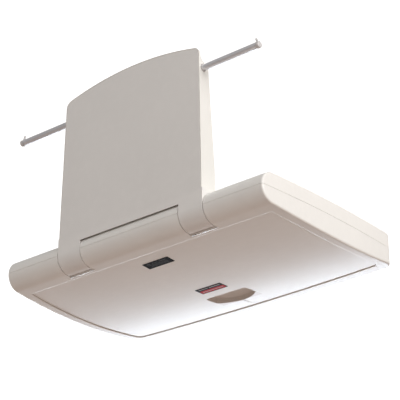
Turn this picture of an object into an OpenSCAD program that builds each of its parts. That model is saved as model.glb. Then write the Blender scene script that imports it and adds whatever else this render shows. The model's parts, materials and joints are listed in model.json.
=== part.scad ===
// Fold-down, wall-mounted changing table.
// Frame: millimetres, +Z up, the wall face is the plane y = 0 and the room is on the -Y side.
// The origin is the centre of the four wall bolts, on the wall face. The bed is open.

/* [Bed] */
// Widest width of the bed, across its bowed ends
bed_w = 845; // [842:1:848]
// Depth of the bed at its middle, from the wall face to the front edge
bed_d = 525; // [523:1:530]
// Inward bow of each end of the bed, from its middle to its corners
end_bow = 11; // [8:0.5:12]
// Bow of the front edge, from its middle to its corners
front_bow = 14; // [10:0.5:16]
// Plan radius of the two front corners
corner_r = 40; // [30:1:50]
// Radius of the round back ridge, which is also the hinge line's distance from the wall
nose_r = 40; // [40:0.1:40.4]
// Deepest point of the underside, below the hinge line
belly = 53.5; // [53:0.5:55]
// Distance of that deepest point in front of the hinge line
belly_y = 250; // [240:1:260]
// Radius of the underside's curve in front of its deepest point
belly_front_r = 1650; // [1500:10:1800]
// Height of the rim above the hinge line
rim_h = 39.5; // [39:0.1:39.8]
// Wall thickness of the moulded bed parts
skin = 3; // [2.5:0.1:3.2]

/* [Changing well] */
// Half of the well's width
well_half_w = 403; // [402:0.5:404]
// Distance of the well's front wall in front of the hinge line
well_front = 455; // [453:0.5:456]
// Plan radius of the well's front corners
well_corner_r = 30; // [20:1:36]
// Depth of the well's floor below the hinge line
floor_drop = 27; // [26.5:0.1:27.2]
// Depth of the raised back part of the floor below the hinge line
back_floor_drop = 18; // [17.5:0.1:19]

/* [Outer panel] */
// Widest width of the inset panel
panel_w = 794; // [790:1:798]
// Distance of its straight back edge from the wall face
panel_back = 64; // [62:0.5:66]
// Distance of its front edge from the wall face, at the middle
panel_front = 487; // [485:0.5:489]
// Depth of the panel's face below the shell's face
panel_inset = 2; // [1:0.1:2]
// Thickness of the panel
panel_t = 3; // [2.5:0.1:3.2]
// Width of the finger recess
recess_w = 126; // [110:1:130]
// Distance of the recess's straight back edge from the wall face
recess_back = 361; // [358:1:364]
// Depth of the recess's side walls, front to back
recess_side = 43; // [38:1:46]
// Depth of the recess at its middle, front to back
recess_mid = 70; // [64:1:72]

/* [Hinge] */
// Distance of the hinge line below the wall bolts' centre
hinge_drop = 230; // [225:1:235]
// Inner and outer side of each knuckle, from the middle of the bed
knuckle_in = 160; // [158:1:162]
knuckle_out = 234; // [233:0.5:235]
// Gap between a knuckle and the bed, along the hinge line
knuckle_gap = 2; // [1:0.1:2]
// Gap between a knuckle and the bed, around the hinge line
notch_gap = 2; // [1.5:0.1:2.5]
// Radius of the hinge shafts
shaft_r = 7; // [6.5:0.1:7]
// Radial running clearance of the shafts in their bushes
run_gap = 0.05; // [0.02:0.01:0.1]

/* [Housing] */
// Half of the housing's width, at its foot and at its top corner
house_half_foot = 233.5; // [232:0.5:234]
house_half_top = 223; // [220:0.5:226]
// Height of the arched top above the hinge line
house_top = 449; // [446:0.5:449.5]
// Radius of the arched top and of its two corners
house_arch_r = 850; // [800:10:900]
house_corner_r = 20; // [10:1:24]
// Depth of the housing at its foot, at mid height and at the shoulder
house_depth_foot = 53.5; // [53:0.1:54]
house_depth_mid = 43; // [42:0.5:44]
house_depth_shoulder = 38.5; // [38:0.5:40]
// Thickness of the cover's flat rim above the shoulder
house_rim_t = 8.5; // [8:0.5:9]
// Gap between the housing and the round back of the bed
house_gap = 5; // [4.5:0.1:6]
// Width of the cover's rim around the back plate
rim_show = 2.5; // [2:0.1:3]

/* [Bag hooks] */
// Half of the length of the hook tube, with its caps
tube_half = 399.4; // [395:0.1:400]
// Radius of the tube
tube_r = 8; // [7.5:0.1:8]
// Height of the tube above the hinge line
tube_z = 368.6; // [366:0.1:370]
// Distance of the tube's middle from the wall face
tube_y = 15; // [14:0.1:16]
// Height of the nib on each cap, above the tube
nib_h = 12; // [10:0.5:13]

/* [Gas spring] */
// Radius of the crank, from the hinge line to its pin
crank_r = 22; // [21:0.1:22]
// Sideways place of the spring, from the middle of the bed
spring_x = 182; // [181:0.5:183]
// Radii of the cylinder, of its bore, of the rod and of the crank pin
cyl_r = 9; // [8.8:0.1:10]
cyl_bore_r = 7.5; // [7.4:0.1:7.6]
rod_r = 4; // [3.8:0.1:4.2]
pin_r = 3.5; // [3.4:0.1:3.6]

/* [Wall bolts] */
// Distance between the bolts, across and up
bolt_x = 406.4; // [400:0.1:410]
bolt_z = 200; // [190:1:210]
// Radius of each bolt's hole
bolt_r = 4; // [3.5:0.1:4.5]

/* [Safety strap] */
// Width and thickness of the webbing
web_w = 38; // [36:1:40]
web_t = 1.6; // [1.4:0.1:1.8]
// Distance of the two anchor slots in front of the hinge line
slot_back = 136; // [134:1:140]
slot_front = 432; // [425:1:436]

/* [Hidden] */

$fn = 96;
cut = 200;
span = 900;
plastic = "#e9e6df";
shade = "#b8b4af";
steel = "#8d9196";
dark = "#26282b";

// Radius of the big circle that bows by "sag" over half a chord
function bow_r(half, sag) = (half * half + sag * sag) / (2 * sag);

// Points along an arc, from angle a to angle b
function arc(c, r, a, b, n) =
    [for (i = [0:n]) c + r * [cos(a + (b - a) * i / n), sin(a + (b - a) * i / n)]];

// The meeting point, at the lower right, of two circles
function meet(c, r, d, s) =
    let (l = norm(d - c), e = (d - c) / l, k = (r * r - s * s + l * l) / (2 * l),
        h = sqrt(r * r - k * k))
    c + k * e + h * [e[1], -e[0]];

function flip(points) = [for (i = [len(points) - 1:-1:0]) [-points[i][0], points[i][1]]];

// Half of an outline with a straight back, bowed ends, a bowed front and round front corners.
// "in" moves the whole outline inwards.
function half_outline(w, back, front, sag_end, sag_front, rc, in) =
    let (mid = -(back + front) / 2,
        re = bow_r((front - back) / 2, sag_end),
        rf = bow_r(w / 2, sag_front),
        ce = [w / 2 - re, mid],
        cf = [0, rf - front],
        cc = meet(ce, re - rc, cf, rf - rc),
        ae = atan2(cc[1] - ce[1], cc[0] - ce[0]),
        af = atan2(cc[1] - cf[1], cc[0] - cf[0]),
        a0 = asin((-back - in - mid) / (re - in)))
    concat(arc(ce, re - in, a0, ae, 10), arc(cc, rc - in, ae, af, 10), arc(cf, rf - in, af, -90, 12));

module outline(w, back, front, sag_end, sag_front, rc, in) {
    half = half_outline(w, back, front, sag_end, sag_front, rc, in);
    polygon(concat(half, flip(half)));
}

module bed_outline(in = 0) outline(bed_w, 0, bed_d, end_bow, front_bow, corner_r, in);

module panel_outline(in = 0) outline(panel_w, panel_back, panel_front, 10, 16, 14, in);

// Side section of the bed about the hinge line, without its front wall
function belly_back_r() =
    (belly_y * belly_y + belly * belly - nose_r * nose_r) / (2 * (belly - nose_r));

function bed_section(in) =
    let (rb = belly_back_r(),
        cb = [-belly_y, rb - belly],
        touch = atan2(-cb[1], -cb[0]),
        top = min(rim_h, nose_r) - in,
        start = asin(top / (nose_r - in)),
        cf = [-belly_y, belly_front_r - belly],
        last = -90 - asin((bed_d - nose_r - belly_y + 20) / (belly_front_r - in)))
    concat(arc([0, 0], nose_r - in, start, touch, 40),
        arc(cb, rb - in, touch, -90, 12),
        arc(cf, belly_front_r - in, -90, last, 12),
        [[-bed_d - 20, top]]);

// Moves its children to the hinge line
module at_hinge() translate([0, -nose_r, -hinge_drop]) children();

// Extrudes a side section, drawn as [y, z], across the width from x0 to x1
module across(x0, x1) translate([x0, 0, 0]) rotate([90, 0, 90]) linear_extrude(x1 - x0) children();

// Extrudes a front view, drawn as [x, z], from y0 towards the wall to y1
module through(y0, y1) translate([0, y1, 0]) rotate([90, 0, 0]) linear_extrude(y1 - y0) children();

// A round bar along the width
module bar(r, x0, x1, y = 0, z = 0) translate([x0, y, z]) rotate([0, 90, 0]) cylinder(r = r, h = x1 - x0);

module box(low, high) translate(low) cube(high - low);

// The bed's whole outer form, moved inwards by "in", between two heights
module bed_form(in, low, high) intersection() {
    translate([0, nose_r, low]) linear_extrude(high - low) bed_outline(in);
    across(-span / 2, span / 2) polygon(bed_section(in));
}

layer_top = -12.5;

// A layer of the bed's underside between two depths under the surface
module belly_layer(from, to) difference() {
    across(-span / 2, span / 2) polygon(bed_section(from));
    across(-span, span) polygon(bed_section(to));
    box([-span, -2 * span, layer_top], [span, span, span]);
}

notch_r = nose_r + notch_gap;

// Space for the two knuckles in the bed, with a wall of thickness "wall" left off
module knuckle_space(wall = 0) for (s = [0, 1]) mirror([s, 0, 0])
    bar(notch_r + wall, knuckle_in - knuckle_gap - wall, knuckle_out + knuckle_gap + wall);

module shaft_holes(r) for (s = [0, 1]) mirror([s, 0, 0]) bar(r, 138, 256);

// --- Bed ---

// Screws from the liner's floor into posts on the shell's inner lip
screw_places = concat(
    [for (s = [-1, 1], y = [150, 290]) [s * 391, -y]],
    [for (s = [-1, 1]) [s * 387, -415]],
    [for (s = [-1, 1]) [s * 130, -441]]);

screw_r = 2.2;
post_r = 6;
lip_w = 8;
lip_t = 2;
shaft_hole_r = shaft_r + 1;

module screw_posts(r) for (p = screw_places) translate([p[0], p[1], -belly]) cylinder(r = r, h = belly);

module bed_shell() color(plastic) at_hinge() difference() {
    union() {
        difference() {
            bed_form(0, -cut, 0);
            bed_form(skin, -cut, 1);
        }
        intersection() {
            belly_layer(0, panel_inset + panel_t + lip_t);
            translate([0, nose_r, -cut]) linear_extrude(2 * cut) difference() {
                panel_outline(-skin);
                panel_outline(lip_w);
            }
        }
        intersection() {
            bed_form(0, -cut, 0);
            knuckle_space(skin);
        }
        intersection() {
            bed_form(0, -cut, -floor_drop - skin);
            screw_posts(post_r);
        }
    }
    screw_posts(screw_r);
    well(skin, -skin);
    intersection() {
        translate([0, nose_r, -cut]) linear_extrude(2 * cut) panel_outline();
        difference() {
            box([-span, -2 * span, -cut], [span, span, layer_top]);
            across(-span, span) polygon(bed_section(panel_inset + panel_t));
        }
    }
    knuckle_space();
    shaft_holes(shaft_hole_r);
}

slot_room = 2;
floor_back = -50;
floor_bend = -130;

// The well's space, grown by "grow", with its floor raised by "floor_lift"
module well(grow, floor_lift) difference() {
    intersection() {
        translate([0, 0, -cut]) linear_extrude(2 * cut) {
            square_w = well_half_w + grow;
            front = well_front + grow;
            r = well_corner_r + grow;
            polygon(concat([[square_w, 0]], arc([square_w - r, r - front], r, 0, -90, 12),
                arc([r - square_w, r - front], r, -90, -180, 12), [[-square_w, 0]]));
        }
        across(-span / 2, span / 2) polygon([[0, 60], [-span, 60], [-span, floor_lift - floor_drop],
            [floor_bend, floor_lift - floor_drop], [floor_back, floor_lift - back_floor_drop],
            [0, floor_lift - back_floor_drop]]);
    }
    bar(nose_r - grow, -span / 2, span / 2);
}

module bed_liner() color(plastic) at_hinge() difference() {
    union() {
        difference() {
            bed_form(0, 0, cut);
            bed_form(skin, -1, cut);
        }
        intersection() {
            well(skin, -skin);
            bed_form(0.5, -cut, cut);
        }
        intersection() {
            bed_form(0, 0, cut);
            knuckle_space(skin);
        }
    }
    well(0, 0);
    knuckle_space();
    shaft_holes(shaft_hole_r);
    for (y = [slot_back, slot_front])
        box([-web_w / 2 - slot_room, -y - slot_room, -cut], [web_w / 2 + slot_room, -y + slot_room, 0]);
    for (p = screw_places) translate([p[0], p[1], -cut]) cylinder(r = screw_r, h = cut);
}

recess_top = 33;
recess_wall = 2.5;

// Outline of the finger recess, grown by "grow"
function recess_points(grow) =
    let (half = recess_w / 2, r = bow_r(half, recess_mid - recess_side), a = asin(half / r))
    concat([[half + grow, -recess_back + grow]],
        arc([0, r - recess_back - recess_mid], r + grow, a - 90, -a - 90, 14),
        [[-half - grow, -recess_back + grow]]);

module outer_panel() color(plastic) at_hinge() difference() {
    union() {
        intersection() {
            belly_layer(panel_inset, panel_inset + panel_t);
            translate([0, nose_r, -cut]) linear_extrude(2 * cut) panel_outline();
        }
        difference() {
            translate([0, nose_r, -belly]) linear_extrude(belly - recess_top + recess_wall)
                polygon(recess_points(recess_wall));
            difference() {
                box([-span, -2 * span, -cut], [span, span, -20]);
                across(-span, span) polygon(bed_section(panel_inset));
            }
        }
    }
    translate([0, nose_r, -cut]) linear_extrude(cut - recess_top) polygon(recess_points(0));
}

arm_places = [147, 241];
arm_t = 6;
arm_boss_r = 14;

// Two hinge arms on one side, joined by a plate under the floor
module hinge_arms() color(steel) at_hinge() difference() {
    union() {
        for (x = arm_places) across(x, x + arm_t) {
            circle(r = arm_boss_r);
            polygon([[-6, -10], [-10, -28], [-22, -32.5], [-34, -34], [-150, -44],
                [-150, -33.8], [-30, -24], [-12, 0]]);
        }
        translate([arm_places[0], -149.6, -43.5]) rotate([3, 0, 0])
            cube([arm_places[1] + arm_t - arm_places[0], 34, 3]);
    }
    shaft_holes(shaft_r);
}

module hinge_arms_left() hinge_arms();

module hinge_arms_right() mirror([1, 0, 0]) hinge_arms();

rail_half_l = 330;
rail_half_w = 15;
rail_wall = 2.5;
rail_low = -45;

// A steel channel that opens downwards, under the floor
module support_rail(y) color(steel) at_hinge() difference() {
    box([-rail_half_l, -y - rail_half_w, rail_low], [rail_half_l, -y + rail_half_w, -floor_drop - skin]);
    box([-span, -y - rail_half_w + rail_wall, rail_low - 1],
        [span, -y + rail_half_w - rail_wall, -floor_drop - skin - rail_wall]);
}

module support_rail_back() support_rail(165);

module support_rail_front() support_rail(295);

module hinge_shaft() color(steel) at_hinge() bar(shaft_r, 143, 251);

module hinge_shaft_left() hinge_shaft();

module hinge_shaft_right() mirror([1, 0, 0]) hinge_shaft();

clamp_r = 12.5;
crank_t = 6;
crank_eye_r = 6.5;
pin_half_l = 7;

// The crank is clamped on the left shaft; its pin works in the gas rod's slotted end
module crank_arm() color(steel) at_hinge() union() {
    difference() {
        across(spring_x + pin_half_l, spring_x + pin_half_l + crank_t) {
            circle(r = clamp_r);
            rotate(45) translate([0, -crank_t]) square([crank_r, 2 * crank_t]);
            rotate(45) translate([crank_r, 0]) circle(r = crank_eye_r);
        }
        shaft_holes(shaft_r);
    }
    bar(pin_r, spring_x - pin_half_l, spring_x + pin_half_l, crank_r * cos(45), crank_r * sin(45));
}

lever_places = [205, 214];
lever_l = 29;

// Levers clamped on the shafts, which stop the bed when it is open
module stop_levers() color(steel) at_hinge() for (s = [0, 1]) mirror([s, 0, 0]) difference() {
    across(lever_places[0], lever_places[1]) {
        circle(r = clamp_r);
        translate([0, -shaft_r]) square([lever_l, 2 * shaft_r]);
    }
    bar(shaft_r, 0, span);
}

web_floor = -floor_drop;
web_lift = 1.9;
buckle_back = 228;
buckle_mid = 272;
tongue_end = 292;

ramp_l = 20;
web_rise = 340;
web_rest = 365;
web_tail = web_floor - skin - 1;

module webbing(points) color(dark) at_hinge() across(-web_w / 2, web_w / 2) polygon(points);

module strap_back() webbing([[-slot_back + web_t / 2, web_tail],
    [-slot_back + web_t / 2, web_floor + web_t], [-buckle_back + ramp_l, web_floor + web_t],
    [-buckle_back + 0.2, web_floor + web_lift + web_t], [-buckle_back + 0.2, web_floor + web_lift],
    [-buckle_back + ramp_l, web_floor], [-slot_back - web_t / 2, web_floor],
    [-slot_back - web_t / 2, web_tail]]);

module strap_front() webbing([[-buckle_mid - 1, web_floor + web_lift],
    [-buckle_mid - 1, web_floor + web_lift + web_t], [-web_rise, web_floor + web_lift + web_t],
    [-web_rest, web_floor + web_t], [-slot_front - web_t / 2, web_floor + web_t],
    [-slot_front - web_t / 2, web_tail], [-slot_front + web_t / 2, web_tail],
    [-slot_front + web_t / 2, web_floor], [-web_rest, web_floor], [-web_rise, web_floor + web_lift]]);

module strap_anchors() color(steel) at_hinge() for (y = [slot_back, slot_front])
    box([-30, -y - 9, web_floor - skin - 3.5], [30, -y + 9, web_floor - skin - 1]);

buckle_half = 26;
buckle_top = web_floor + 11.3;
mouth_low = web_floor + 2.8;
mouth_top = web_floor + 8.8;
prong_low = web_floor + 4.1;
prong_top = web_floor + 8.3;
prong_half = 3.5;
prong_x = 21.5;

// Female half of the side-release buckle
module buckle_body() color(dark) at_hinge() difference() {
    box([-buckle_half, -buckle_mid, web_floor + 0.3], [buckle_half, -buckle_back, buckle_top]);
    box([-22, -buckle_mid - 1, mouth_low], [22, -buckle_back - 12, mouth_top]);
    for (s = [-1, 1]) box([s * buckle_half - 6, -buckle_mid - 1, mouth_low],
        [s * buckle_half + 6, -buckle_back - 16, mouth_top]);
    box([-web_w / 2 - 1, -buckle_back - 7, web_floor - 1], [web_w / 2 + 1, -buckle_back - 4, 0]);
}

// Male half: two prongs, and a base that slides along the webbing
module buckle_tongue() color(dark) at_hinge() difference() {
    union() {
        box([-24.5, -tongue_end, web_floor + 0.4], [24.5, -buckle_mid - 0.4, web_floor + 10.8]);
        for (s = [-1, 1]) box([s * prong_x - prong_half, -buckle_mid - 1, prong_low],
            [s * prong_x + prong_half, -buckle_back - 18, prong_top]);
        box([-6, -buckle_mid - 1, prong_low], [6, -buckle_back - 20, prong_top]);
    }
    box([-web_w / 2 - 0.5, -tongue_end - 1, web_floor + web_lift - 0.4],
        [web_w / 2 + 0.5, -buckle_mid + 1, web_floor + web_lift + web_t + 0.4]);
}

module screw(r, head_r, length) union() {
    cylinder(r = head_r, h = r);
    translate([0, 0, -length]) cylinder(r = r, h = length);
}

module shell_screws() color(steel) at_hinge() for (p = screw_places)
    translate([p[0], p[1], web_floor]) screw(screw_r, 4.5, 10);

label_w = 82;
label_t = 0.5;

// A thin label on the outer panel: sideways place and distance from the wall face of its
// middle, and its depth
module label(x, y, d, tint) color(tint) at_hinge() intersection() {
    belly_layer(panel_inset - label_t, panel_inset);
    box([x - label_w / 2, nose_r - y - d / 2, -cut], [x + label_w / 2, nose_r - y + d / 2, 0]);
}

module rating_label() label(3, 114, 29, dark);

module pull_label() label(2, 310, 33, "#4a4d50");

// --- Wall unit ---

corner_z = 417;

function house_half(z) = house_half_foot + (house_half_top - house_half_foot) * z / corner_z;

// Half of the housing's front view, with its top lowered by "drop" and its edge moved in
function house_points(in, drop) =
    let (top = house_top - drop,
        cc = [0, top - house_arch_r],
        lean = atan2(house_half_foot - house_half_top, corner_z),
        r = house_corner_r,
        // the corner circle touches the leaning side and the arch
        cx = house_half(top - 45) - r,
        cy = cc[1] + sqrt(pow(house_arch_r - r, 2) - cx * cx),
        a1 = atan2(cy - cc[1], cx))
    concat([[house_half(0) - in, 0]],
        arc([cx, cy], r - in, lean, a1, 8),
        arc(cc, house_arch_r - in, a1, 90, 12));

module house_view(in = 0, drop = 0) {
    half = house_points(in, drop);
    polygon(concat(half, flip(half)));
}

function house_face(in) = [[60, -1], [nose_r - house_depth_foot + in, -1],
    [nose_r - house_depth_foot + in, 110], [nose_r - house_depth_mid + in, 292],
    [nose_r - house_depth_shoulder + in, 367 - in], [nose_r - house_depth_shoulder + in, 500],
    [60, 500]];

// The cover's solid form: a thin arched rim and a thick body with a sloping shoulder
module house_form(in, back) {
    through(nose_r - house_rim_t + in, back) house_view(in);
    intersection() {
        hull() {
            through(28, back) house_view(in, 24);
            through(-20, -19.9) house_view(in, 66);
        }
        across(-span / 2, span / 2) polygon(house_face(in));
    }
}

plate_t = 4;
plate_face = nose_r - plate_t - 0.2;
foot_z = 20;
knuckle_box_h = 38;
cover_over = nose_r + 0.3;

// The cover clears the bed's round back, and sits close over the two knuckles
module front_cover() color(plastic) at_hinge() difference() {
    house_form(0, nose_r - 0.1);
    difference() {
        house_form(skin, nose_r + 1);
        for (s = [0, 1]) mirror([s, 0, 0])
            bar(nose_r + house_gap + skin, knuckle_out - plate_t, span);
        bar(nose_r + house_gap + skin, plate_t - knuckle_in, knuckle_in - plate_t);
    }
    through(plate_face, nose_r + 1) house_view(rim_show);
    bar(cover_over, -span / 2, span / 2);
    bar(nose_r + house_gap, -knuckle_in, knuckle_in);
    for (s = [0, 1]) mirror([s, 0, 0]) bar(nose_r + house_gap, knuckle_out, span);
    box([-span, -span, -10], [span, span, foot_z]);
    box([-span, plate_face, -10], [span, span, knuckle_box_h + 0.2]);
    bar(tube_r + 2.5, -span / 2, span / 2, nose_r - tube_y, tube_z);
    for (p = cover_screw_places) translate([p[0], nose_r, p[1]]) rotate([90, 0, 0])
        cylinder(r = 2.2, h = 100);
}

cover_screw_places = concat([for (s = [-1, 1], z = [90, 300]) [s * 150, z]], [[0, 410]]);

module rear_housing() color(shade) at_hinge() difference() {
    union() {
        intersection() {
            through(nose_r - plate_t, nose_r) house_view(rim_show);
            box([-span, -span, foot_z], [span, span, span]);
        }
        for (s = [0, 1]) mirror([s, 0, 0]) {
            bar(nose_r, knuckle_in, knuckle_out);
            box([knuckle_in, nose_r - plate_t, 0], [knuckle_out, nose_r, knuckle_box_h]);
        }
        for (p = cover_screw_places) translate([p[0], nose_r, p[1]]) rotate([90, 0, 0])
            cylinder(r = 5, h = p[1] > 400 ? 5 : 34);
    }
    bar(nose_r + house_gap, -knuckle_in, knuckle_in);
    for (s = [0, 1]) mirror([s, 0, 0]) {
        bar(nose_r - plate_t, knuckle_in + plate_t, knuckle_out - plate_t);
        box([knuckle_in + plate_t, -12, 0], [knuckle_out - plate_t, nose_r - plate_t, 60]);
    }
    shaft_holes(shaft_hole_r);
    wall_holes();
    for (p = cover_screw_places) translate([p[0], nose_r - 3, p[1]]) rotate([90, 0, 0])
        cylinder(r = 1.9, h = 100);
}

module wall_holes() for (x = [-1, 1], z = [-1, 1])
    translate([x * bolt_x / 2, nose_r + 1, hinge_drop + z * bolt_z / 2])
        rotate([90, 0, 0]) cylinder(r = bolt_r, h = 20);

bush_r = shaft_r + 2;
ear_places = [166, 221];
ear_t = 4;

// Steel bracket: a tall plate on the housing's back and two ears that carry the hinge
module wall_bracket() color(steel) at_hinge() difference() {
    union() {
        box([166, nose_r - 7.2, 40], [225, nose_r - 4.2, 105]);
        box([166, nose_r - 7.2, 100], [215, nose_r - 4.2, 345]);
        box([200, 16, 19], [222, nose_r - 7, 22]);
        for (x = ear_places) across(x, x + ear_t) {
            circle(r = 15);
            polygon([[-11, 0], [14, -6], [31, 12], [nose_r - 5, 42], [nose_r - 5, 100],
                [24, 100], [-9, 20]]);
        }
    }
    for (x = ear_places) bar(bush_r, x - 1, x + ear_t + 1);
    wall_holes();
    for (p = bracket_screw_places) translate([p[0], nose_r, p[1]]) rotate([90, 0, 0])
        cylinder(r = 2, h = 20);
}

bracket_screw_places = [for (z = [180, 270]) [207, z]];

module wall_bracket_left() wall_bracket();

module wall_bracket_right() mirror([1, 0, 0]) wall_bracket();

module hinge_bushes() color(dark) at_hinge() for (s = [0, 1]) mirror([s, 0, 0])
    for (x = ear_places) difference() {
        union() {
            bar(bush_r, x - 0.5, x + ear_t);
            bar(bush_r + 2.5, x + ear_t, x + ear_t + 1.5);
        }
        bar(shaft_r + run_gap, x - 2, x + 8);
    }

// Rubber stops under the brackets' shelves, which the stop levers meet when the bed is open
module stop_buffers() color(dark) at_hinge() for (s = [0, 1]) mirror([s, 0, 0])
    box([203, 18, shaft_r + 0.3], [216, 28, 19]);

rod_y = crank_r * (1 + cos(45)) / 2;
gland_z = 75;
cyl_top = 300;
eye_z = 314;

module gas_cylinder() color(dark) at_hinge() difference() {
    union() {
        translate([spring_x, rod_y, gland_z]) cylinder(r = cyl_r, h = cyl_top - gland_z);
        translate([spring_x, rod_y, cyl_top - 1]) cylinder(r = 5, h = 10);
        bar(7, spring_x - 4, spring_x + 4, rod_y, eye_z);
    }
    translate([spring_x, rod_y, gland_z + 8]) cylinder(r = cyl_bore_r, h = cyl_top - gland_z - 14);
    translate([spring_x, rod_y, gland_z - 1]) cylinder(r = rod_r + run_gap, h = 12);
    bar(4, spring_x - 6, spring_x + 6, rod_y, eye_z);
}

module gas_bracket() color(steel) at_hinge() difference() {
    union() {
        box([spring_x - 11, nose_r - 9.7, eye_z - 12], [spring_x + 11, nose_r - 7.2, eye_z + 12]);
        for (x = [spring_x - 7.5, spring_x + 5]) across(x, x + 2.5) {
            translate([rod_y, eye_z]) circle(r = 8);
            translate([rod_y, eye_z - 8]) square([nose_r - 8 - rod_y, 16]);
        }
    }
    bar(4, spring_x - 20, spring_x + 20, rod_y, eye_z);
}

module gas_pin() color(steel) at_hinge() {
    bar(4, spring_x - 9, spring_x + 8.5, rod_y, eye_z);
    bar(6, spring_x - 11, spring_x - 8, rod_y, eye_z);
}

slot_r = 4.4;
pin_y = [crank_r * cos(45), crank_r];

// A slot's outline over the crank pin's sideways run
module long_round(r, z) hull() for (y = pin_y) translate([y, z]) circle(r = r, $fn = 32);

// Piston rod with a slotted end, which takes up the crank pin's small sideways run
module gas_rod() color(steel) at_hinge() {
    pin_z = crank_r * sin(45);
    difference() {
        across(spring_x - 6, spring_x + 6) long_round(7.2, pin_z);
        across(spring_x - 8, spring_x + 8) long_round(slot_r, pin_z);
    }
    translate([spring_x, rod_y, pin_z + 6]) cylinder(r = rod_r, h = 100);
    translate([spring_x, rod_y, pin_z + 100]) cylinder(r = cyl_bore_r - 0.1, h = 8);
}

cap_l = 10;
cap_wall = 0.8;
tube_wall = 1.5;
plug_l = 14;
nib_r = 3;
nib_in = 3.4;
nib_lean = 20;

module hook_tube() color(steel) at_hinge() difference() {
    bar(tube_r, cap_l - tube_half, tube_half - cap_l, nose_r - tube_y, tube_z);
    bar(tube_r - tube_wall, -span / 2, span / 2, nose_r - tube_y, tube_z);
}

module hook_cap() color(shade) at_hinge() {
    bar(tube_r + cap_wall, tube_half - cap_l, tube_half, nose_r - tube_y, tube_z);
    bar(tube_r - tube_wall, tube_half - cap_l - plug_l, tube_half - cap_l, nose_r - tube_y, tube_z);
    translate([tube_half - nib_in, nose_r - tube_y, tube_z]) rotate([0, -nib_lean, 0]) {
        nib_l = (tube_r + nib_h - nib_r) / cos(nib_lean);
        cylinder(r = nib_r, h = nib_l);
        translate([0, 0, nib_l]) sphere(r = nib_r);
    }
}

module hook_cap_left() hook_cap();

module hook_cap_right() mirror([1, 0, 0]) hook_cap();

module tube_grommets() color(shade) at_hinge() for (s = [0, 1]) mirror([s, 0, 0]) difference() {
    bar(tube_r + 2.4, house_half(tube_z) - 6, house_half(tube_z) + 1.5, nose_r - tube_y, tube_z);
    bar(tube_r + 0.02, 0, span / 2, nose_r - tube_y, tube_z);
}

// Saddles that hold the tube on the back plate
module tube_clamps() color(steel) at_hinge() for (x = [-120, 0, 120]) difference() {
    union() {
        bar(tube_r + 2.5, x - 10, x + 10, nose_r - tube_y, tube_z);
        box([x - 10, nose_r - 7, tube_z - 24], [x + 10, nose_r - 4, tube_z + 24]);
    }
    bar(tube_r, x - 11, x + 11, nose_r - tube_y, tube_z);
    box([x - 20, nose_r - 4, tube_z - 30], [x + 20, nose_r + 10, tube_z + 30]);
}

module cover_screws() color(steel) at_hinge() for (p = cover_screw_places) {
    face = p[1] > 400 ? nose_r - house_rim_t
        : p[1] > 200 ? nose_r - house_depth_mid - 0.4 : nose_r - house_depth_foot;
    translate([p[0], face, p[1]]) rotate([90, 0, 0]) screw(1.8, 4, p[1] > 400 ? 5 : 24);
}

module bracket_screws() color(steel) at_hinge() for (s = [-1, 1], p = bracket_screw_places)
    translate([s * p[0], nose_r - 7.2, p[1]]) rotate([90, 0, 0]) screw(2, 4, 3);

rear_housing();
front_cover();
wall_bracket_left();
wall_bracket_right();
hinge_bushes();
stop_buffers();
gas_cylinder();
gas_bracket();
gas_pin();
hook_tube();
hook_cap_left();
hook_cap_right();
tube_grommets();
tube_clamps();
cover_screws();
bracket_screws();
bed_shell();
bed_liner();
outer_panel();
hinge_arms_left();
hinge_arms_right();
support_rail_back();
support_rail_front();
hinge_shaft_left();
hinge_shaft_right();
crank_arm();
stop_levers();
strap_back();
strap_front();
strap_anchors();
buckle_body();
shell_screws();
rating_label();
pull_label();
gas_rod();
buckle_tongue();
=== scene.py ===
"""Looks of the fold-down changing table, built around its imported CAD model.

Shapes are worked out in millimetres about the hinge line: x across, u towards the wall, v up.
They are turned into metres in the row frame when a mesh is made.
"""

import json
import math

import bmesh
import bpy
import numpy as np
from mathutils import Euler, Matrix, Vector


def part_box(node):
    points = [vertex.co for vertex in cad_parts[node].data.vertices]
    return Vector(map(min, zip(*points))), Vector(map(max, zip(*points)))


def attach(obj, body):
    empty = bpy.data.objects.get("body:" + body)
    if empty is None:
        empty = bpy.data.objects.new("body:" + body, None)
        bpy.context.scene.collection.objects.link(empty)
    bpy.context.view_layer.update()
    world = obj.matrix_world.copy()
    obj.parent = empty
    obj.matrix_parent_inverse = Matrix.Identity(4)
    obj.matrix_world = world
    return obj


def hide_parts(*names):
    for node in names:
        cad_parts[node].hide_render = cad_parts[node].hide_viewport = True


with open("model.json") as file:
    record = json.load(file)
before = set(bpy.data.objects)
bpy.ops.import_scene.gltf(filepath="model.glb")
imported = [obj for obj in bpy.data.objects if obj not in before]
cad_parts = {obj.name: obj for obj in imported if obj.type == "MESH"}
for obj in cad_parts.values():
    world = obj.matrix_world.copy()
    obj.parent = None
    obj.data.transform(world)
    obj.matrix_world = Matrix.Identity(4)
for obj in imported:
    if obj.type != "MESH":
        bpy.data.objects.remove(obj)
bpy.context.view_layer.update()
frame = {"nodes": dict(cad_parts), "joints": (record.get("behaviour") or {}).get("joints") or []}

MM = 0.001
nodes = frame["nodes"]
hinge = next(j for j in frame["joints"] if j["name"] == "bed_fold")["pos_m"]
HINGE_Y, HINGE_Z = hinge[1] / MM, hinge[2] / MM


def box_mm(node):
    """Lowest and highest corner of a CAD node, in mm about the hinge line."""
    low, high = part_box(node)
    shift = np.array([0, HINGE_Y, HINGE_Z])
    return np.array(low) / MM - shift, np.array(high) / MM - shift


# --- Main sizes, in mm ---

shell_low, _ = box_mm("bed_shell")
_, liner_high = box_mm("bed_liner")
_, cover_high = box_mm("front_cover")
_, back_high = box_mm("rear_housing")

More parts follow.
